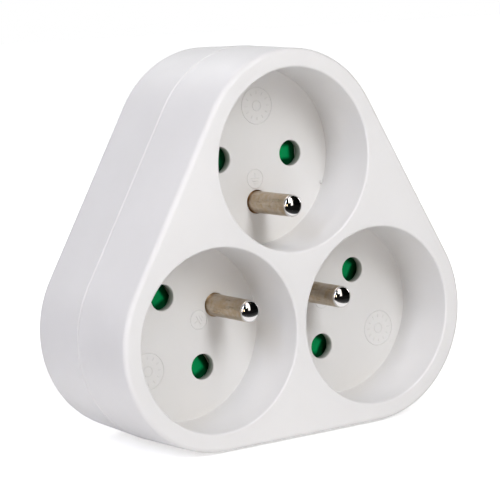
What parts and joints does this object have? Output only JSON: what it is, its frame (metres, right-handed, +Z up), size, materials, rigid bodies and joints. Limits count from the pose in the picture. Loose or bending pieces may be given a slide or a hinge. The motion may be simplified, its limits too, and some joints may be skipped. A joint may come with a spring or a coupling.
{
  "type": "multi socket adapter",
  "caption": "Rounded triangular plug-in adapter with recessed round sockets, each with an earth pin and shuttered contact holes, and a round plug on its back.",
  "frame": {"origin": "on the plug's axis, in the plane of the body's rear face", "axes": "+X right seen from the front, +Y into the wall along the plug, +Z up; the sockets face -Y"},
  "size_m": [0.0906, 0.0705, 0.0849],
  "materials": {
    "shell_plastic": "white moulded plastic, fine satin gloss",
    "carrier_plastic": "natural moulded insulating plastic",
    "brass": "stamped bright brass",
    "contact_brass": "rolled spring brass",
    "nickel": "nickel plate, satin shank and polished tip",
    "screw_steel": "zinc plated",
    "spring_steel": "bright drawn wire",
    "shutter_green": "green moulded plastic"
  },
  "bodies": {
    "frame": {"carrier_screws": "screw_steel", "contact_carrier": "carrier_plastic", "contact_rivets": "brass", "earth_busbar": "brass", "earth_link": "brass", "earth_pin_1": "nickel", "earth_pin_2": "nickel", "earth_pin_3": "nickel", "front_housing": "shell_plastic", "housing_screws": "screw_steel", "live_busbar": "brass", "live_contact_1": "contact_brass", "live_contact_2": "contact_brass", "live_contact_3": "contact_brass", "neutral_busbar": "brass", "neutral_contact_1": "contact_brass", "neutral_contact_2": "contact_brass", "neutral_contact_3": "contact_brass", "pin_retainer": "carrier_plastic", "plug_earth_contact": "brass", "plug_earth_strips": "nickel", "plug_pin_live": "nickel", "plug_pin_neutral": "nickel", "rear_housing": "shell_plastic", "retainer_screws": "screw_steel", "shutter_spring_1": "spring_steel", "shutter_spring_2": "spring_steel", "shutter_spring_3": "spring_steel"},
    "shutter_1": {"shutter_1": "shutter_green"},
    "shutter_2": {"shutter_2": "shutter_green"},
    "shutter_3": {"shutter_3": "shutter_green"}
  },
  "joints": [
    {"name": "shutter_1_slide", "type": "slide", "parent": "frame", "child": "shutter_1", "axis": [0, 0, 1], "range_m": [0, 0.006], "stiffness_N_per_m": 60, "deforming": ["shutter_spring_1"]},
    {"name": "shutter_2_slide", "type": "slide", "parent": "frame", "child": "shutter_2", "axis": [-0.866, 0, -0.5], "range_m": [0, 0.006], "stiffness_N_per_m": 60, "deforming": ["shutter_spring_2"]},
    {"name": "shutter_3_slide", "type": "slide", "parent": "frame", "child": "shutter_3", "axis": [0.866, 0, -0.5], "range_m": [0, 0.006], "stiffness_N_per_m": 60, "deforming": ["shutter_spring_3"]}
  ]
}
